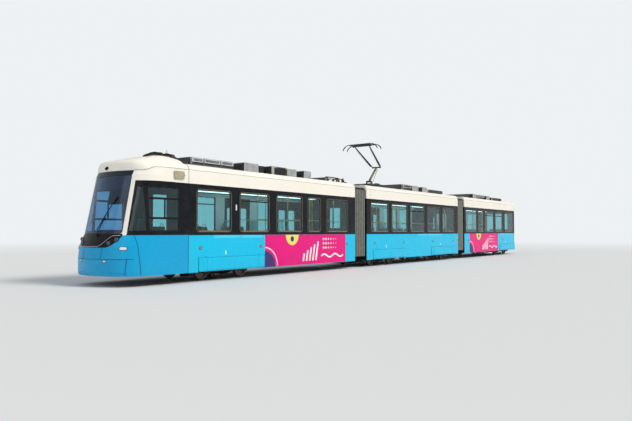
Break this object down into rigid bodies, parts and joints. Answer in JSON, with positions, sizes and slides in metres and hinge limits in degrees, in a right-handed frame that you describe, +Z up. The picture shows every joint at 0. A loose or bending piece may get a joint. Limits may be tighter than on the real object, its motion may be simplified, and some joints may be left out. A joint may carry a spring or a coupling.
{
  "type": "tram",
  "caption": "Single-ended articulated low-floor city tram in three sections on pivoting bogies, with a folding current collector on the middle roof.",
  "frame": {"origin": "centre of the bounding box in plan, at the tips of the wheel flanges", "axes": "+X forward along the tram, +Y to its left side, +Z up"},
  "size_m": [33.0058, 2.73, 5.66],
  "materials": {
    "blue_paint": "gloss",
    "black_band": "gloss",
    "roof_equipment": "satin",
    "cream_paint": "gloss",
    "underframe": "matte",
    "window_glass": "clear",
    "screen_glass": "clear",
    "seat_fabric": "matte",
    "rail_steel": "satin",
    "door_black": "satin",
    "mask_plastic": "gloss",
    "lamp_clear": "clear",
    "lamp_red": "gloss",
    "cab_grey": "matte",
    "bellows_fabric": "matte",
    "bogie_paint": "matte",
    "wheel_steel": "satin",
    "collector_metal": "satin"
  },
  "bodies": {
    "middle_section": {"bogie_covers_middle": "blue_paint", "doors_middle": "door_black", "floor_middle": "underframe", "glass_middle": "window_glass", "hand_rails_middle": "rail_steel", "lower_panels_middle": "blue_paint", "roof_middle": "cream_paint", "roof_units_middle": "roof_equipment", "seats_middle": "seat_fabric", "window_band_middle": "black_band", "collector_base": "collector_metal", "bellows_1": "bellows_fabric", "bellows_2": "bellows_fabric"},
    "front_section": {"bogie_covers_front": "blue_paint", "doors_front": "door_black", "floor_front": "underframe", "glass_front": "window_glass", "hand_rails_front": "rail_steel", "lower_panels_front": "blue_paint", "roof_front": "cream_paint", "roof_units_front": "roof_equipment", "seats_front": "seat_fabric", "window_band_front": "black_band", "window_band_cab": "black_band", "lamp_mask": "mask_plastic", "nose_panels": "blue_paint", "cab_frame": "cream_paint", "windscreen": "screen_glass", "cab_bulkhead": "cab_grey", "drivers_desk": "cab_grey", "drivers_seat": "seat_fabric", "head_lamps": "lamp_clear", "wiper": "door_black"},
    "rear_section": {"bogie_covers_rear": "blue_paint", "doors_rear": "door_black", "floor_rear": "underframe", "glass_rear": "window_glass", "hand_rails_rear": "rail_steel", "lower_panels_rear": "blue_paint", "roof_rear": "cream_paint", "roof_units_rear": "roof_equipment", "seats_rear": "seat_fabric", "window_band_rear": "black_band", "tail_lamps": "lamp_red"},
    "bogie_1": {"bogie_1": "bogie_paint"},
    "bogie_2": {"bogie_2": "bogie_paint"},
    "bogie_3": {"bogie_3": "bogie_paint"},
    "bogie_4": {"bogie_4": "bogie_paint"},
    "wheelset_1_1": {"wheelset_1_1": "wheel_steel"},
    "wheelset_1_2": {"wheelset_1_2": "wheel_steel"},
    "wheelset_2_1": {"wheelset_2_1": "wheel_steel"},
    "wheelset_2_2": {"wheelset_2_2": "wheel_steel"},
    "wheelset_3_1": {"wheelset_3_1": "wheel_steel"},
    "wheelset_3_2": {"wheelset_3_2": "wheel_steel"},
    "wheelset_4_1": {"wheelset_4_1": "wheel_steel"},
    "wheelset_4_2": {"wheelset_4_2": "wheel_steel"},
    "collector_lower_arm": {"collector_lower_arm": "collector_metal"},
    "collector_rod": {"collector_rod": "collector_metal"},
    "collector_upper_arm": {"collector_upper_arm": "collector_metal"},
    "collector_head": {"collector_head": "collector_metal"}
  },
  "joints": [
    {"name": "front_articulation", "type": "hinge", "parent": "middle_section", "child": "front_section", "pos_m": [4.28, 0, 0.32], "axis": [0, 0, 1], "range_deg": [-30, 30], "deforming": ["bellows_1"]},
    {"name": "rear_articulation", "type": "hinge", "parent": "middle_section", "child": "rear_section", "pos_m": [-6.68, 0, 0.32], "axis": [0, 0, 1], "range_deg": [-30, 30], "deforming": ["bellows_2"]},
    {"name": "bogie_1_swing", "type": "hinge", "parent": "front_section", "child": "bogie_1", "pos_m": [12.15, 0, 0.3], "axis": [0, 0, 1], "range_deg": [-9, 9]},
    {"name": "bogie_2_swing", "type": "hinge", "parent": "middle_section", "child": "bogie_2", "pos_m": [1.725, 0, 0.3], "axis": [0, 0, 1], "range_deg": [-9, 9]},
    {"name": "bogie_3_swing", "type": "hinge", "parent": "middle_section", "child": "bogie_3", "pos_m": [-4.23, 0, 0.3], "axis": [0, 0, 1], "range_deg": [-9, 9]},
    {"name": "bogie_4_swing", "type": "hinge", "parent": "rear_section", "child": "bogie_4", "pos_m": [-14.65, 0, 0.3], "axis": [0, 0, 1], "range_deg": [-9, 9]},
    {"name": "wheelset_1_1_spin", "type": "hinge", "parent": "bogie_1", "child": "wheelset_1_1", "pos_m": [13.05, 0, 0.332], "axis": [0, 1, 0], "continuous": true},
    {"name": "wheelset_1_2_spin", "type": "hinge", "parent": "bogie_1", "child": "wheelset_1_2", "pos_m": [11.25, 0, 0.332], "axis": [0, 1, 0], "continuous": true},
    {"name": "wheelset_2_1_spin", "type": "hinge", "parent": "bogie_2", "child": "wheelset_2_1", "pos_m": [2.625, 0, 0.332], "axis": [0, 1, 0], "continuous": true},
    {"name": "wheelset_2_2_spin", "type": "hinge", "parent": "bogie_2", "child": "wheelset_2_2", "pos_m": [0.825, 0, 0.332], "axis": [0, 1, 0], "continuous": true},
    {"name": "wheelset_3_1_spin", "type": "hinge", "parent": "bogie_3", "child": "wheelset_3_1", "pos_m": [-3.33, 0, 0.332], "axis": [0, 1, 0], "continuous": true},
    {"name": "wheelset_3_2_spin", "type": "hinge", "parent": "bogie_3", "child": "wheelset_3_2", "pos_m": [-5.13, 0, 0.332], "axis": [0, 1, 0], "continuous": true},
    {"name": "wheelset_4_1_spin", "type": "hinge", "parent": "bogie_4", "child": "wheelset_4_1", "pos_m": [-13.75, 0, 0.332], "axis": [0, 1, 0], "continuous": true},
    {"name": "wheelset_4_2_spin", "type": "hinge", "parent": "bogie_4", "child": "wheelset_4_2", "pos_m": [-15.55, 0, 0.332], "axis": [0, 1, 0], "continuous": true},
    {"name": "collector_fold", "type": "hinge", "parent": "middle_section", "child": "collector_lower_arm", "pos_m": [1.37, 0, 3.94], "axis": [0, -1, 0], "range_deg": [-15, 40]},
    {"name": "collector_knee", "type": "hinge", "parent": "collector_lower_arm", "child": "collector_upper_arm", "pos_m": [0.65, 0, 4.68], "axis": [0, -1, 0], "range_deg": [-71, 26.62]},
    {"name": "collector_head_level", "type": "hinge", "parent": "collector_upper_arm", "child": "collector_head", "pos_m": [2.02, 0, 5.57], "axis": [0, -1, 0], "range_deg": [-11.62, 31]},
    {"name": "collector_rod_swing", "type": "hinge", "parent": "middle_section", "child": "collector_rod", "pos_m": [1.212, 0, 3.83], "axis": [0, -1, 0], "range_deg": [-18.57, 49.52]}
  ],
  "couplings": [
    {"joint": "collector_knee", "follows": "collector_fold", "ratio": -1.775},
    {"joint": "collector_head_level", "follows": "collector_fold", "ratio": 0.775},
    {"joint": "collector_rod_swing", "follows": "collector_fold", "ratio": 1.238}
  ]
}
